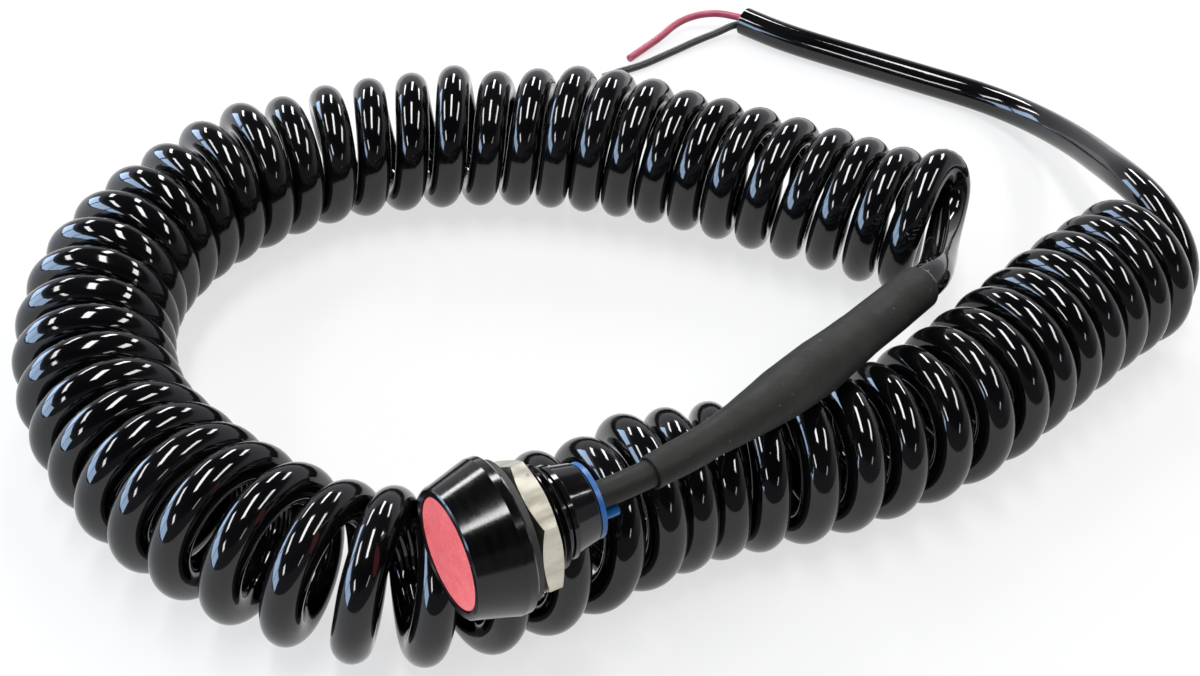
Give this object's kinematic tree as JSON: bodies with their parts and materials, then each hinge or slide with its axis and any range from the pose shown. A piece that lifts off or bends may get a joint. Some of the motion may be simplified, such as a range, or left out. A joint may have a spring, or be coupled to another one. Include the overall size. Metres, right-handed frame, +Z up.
{
  "type": "push button control on a coiled cord",
  "caption": "Round hand push-button with a threaded bush and hex nut, spliced to a retractable curly cord that ends in a stripped tail.",
  "frame": {"origin": "on the button's axis, in the plane of the bezel's rear face, which seats on a panel", "axes": "+X along the button's axis to its rear, +Z up; the cord lies on a flat surface 27 mm below the axis"},
  "size_m": [0.1715, 0.1245, 0.0359],
  "materials": {
    "black_anodised": "gloss",
    "red_anodised": "satin",
    "nickel_nut": "satin",
    "black_rubber": "matte",
    "steel": "satin",
    "black_moulding": "gloss",
    "blue_moulding": "satin",
    "contact_metal": "satin",
    "potting": "gloss",
    "lead_sheath": "matte",
    "red_insulation": "satin",
    "black_insulation": "satin",
    "crimp_tin": "satin",
    "heatshrink": "matte",
    "hot_melt": "gloss",
    "cord_jacket": "gloss"
  },
  "bodies": {
    "root": {"bezel_housing": "black_anodised", "panel_gasket": "black_rubber", "stem_seal": "black_rubber", "return_spring": "steel", "rear_shell": "black_moulding", "terminal_base": "blue_moulding", "fixed_contact_a": "contact_metal", "fixed_contact_b": "contact_metal", "potting_plug": "potting", "lead_sleeve": "lead_sheath", "lead_wire_red": "red_insulation", "lead_wire_black": "black_insulation", "splice_crimp_red": "crimp_tin", "splice_crimp_black": "crimp_tin", "start_core_red": "red_insulation", "start_core_black": "black_insulation", "splice_heatshrink": "heatshrink", "splice_adhesive": "hot_melt", "cord_start": "cord_jacket", "cord_coil": "cord_jacket", "cord_tail": "cord_jacket", "tail_core_red": "red_insulation", "tail_core_black": "black_insulation"},
    "plunger": {"actuator_button": "red_anodised", "plunger_stem": "steel", "retaining_ring": "steel", "contact_carrier": "black_moulding", "contact_bridge": "contact_metal"},
    "nut": {"mounting_nut": "nickel_nut"}
  },
  "joints": [
    {"name": "button_press", "type": "slide", "parent": "root", "child": "plunger", "axis": [1, 0, 0], "range_m": [0, 0.0015], "stiffness_N_per_m": 1000, "springref_m": -0.0015, "deforming": ["return_spring"]},
    {"name": "nut_travel", "type": "slide", "parent": "root", "child": "nut", "axis": [1, 0, 0], "range_m": [0, 0.0016]}
  ]
}
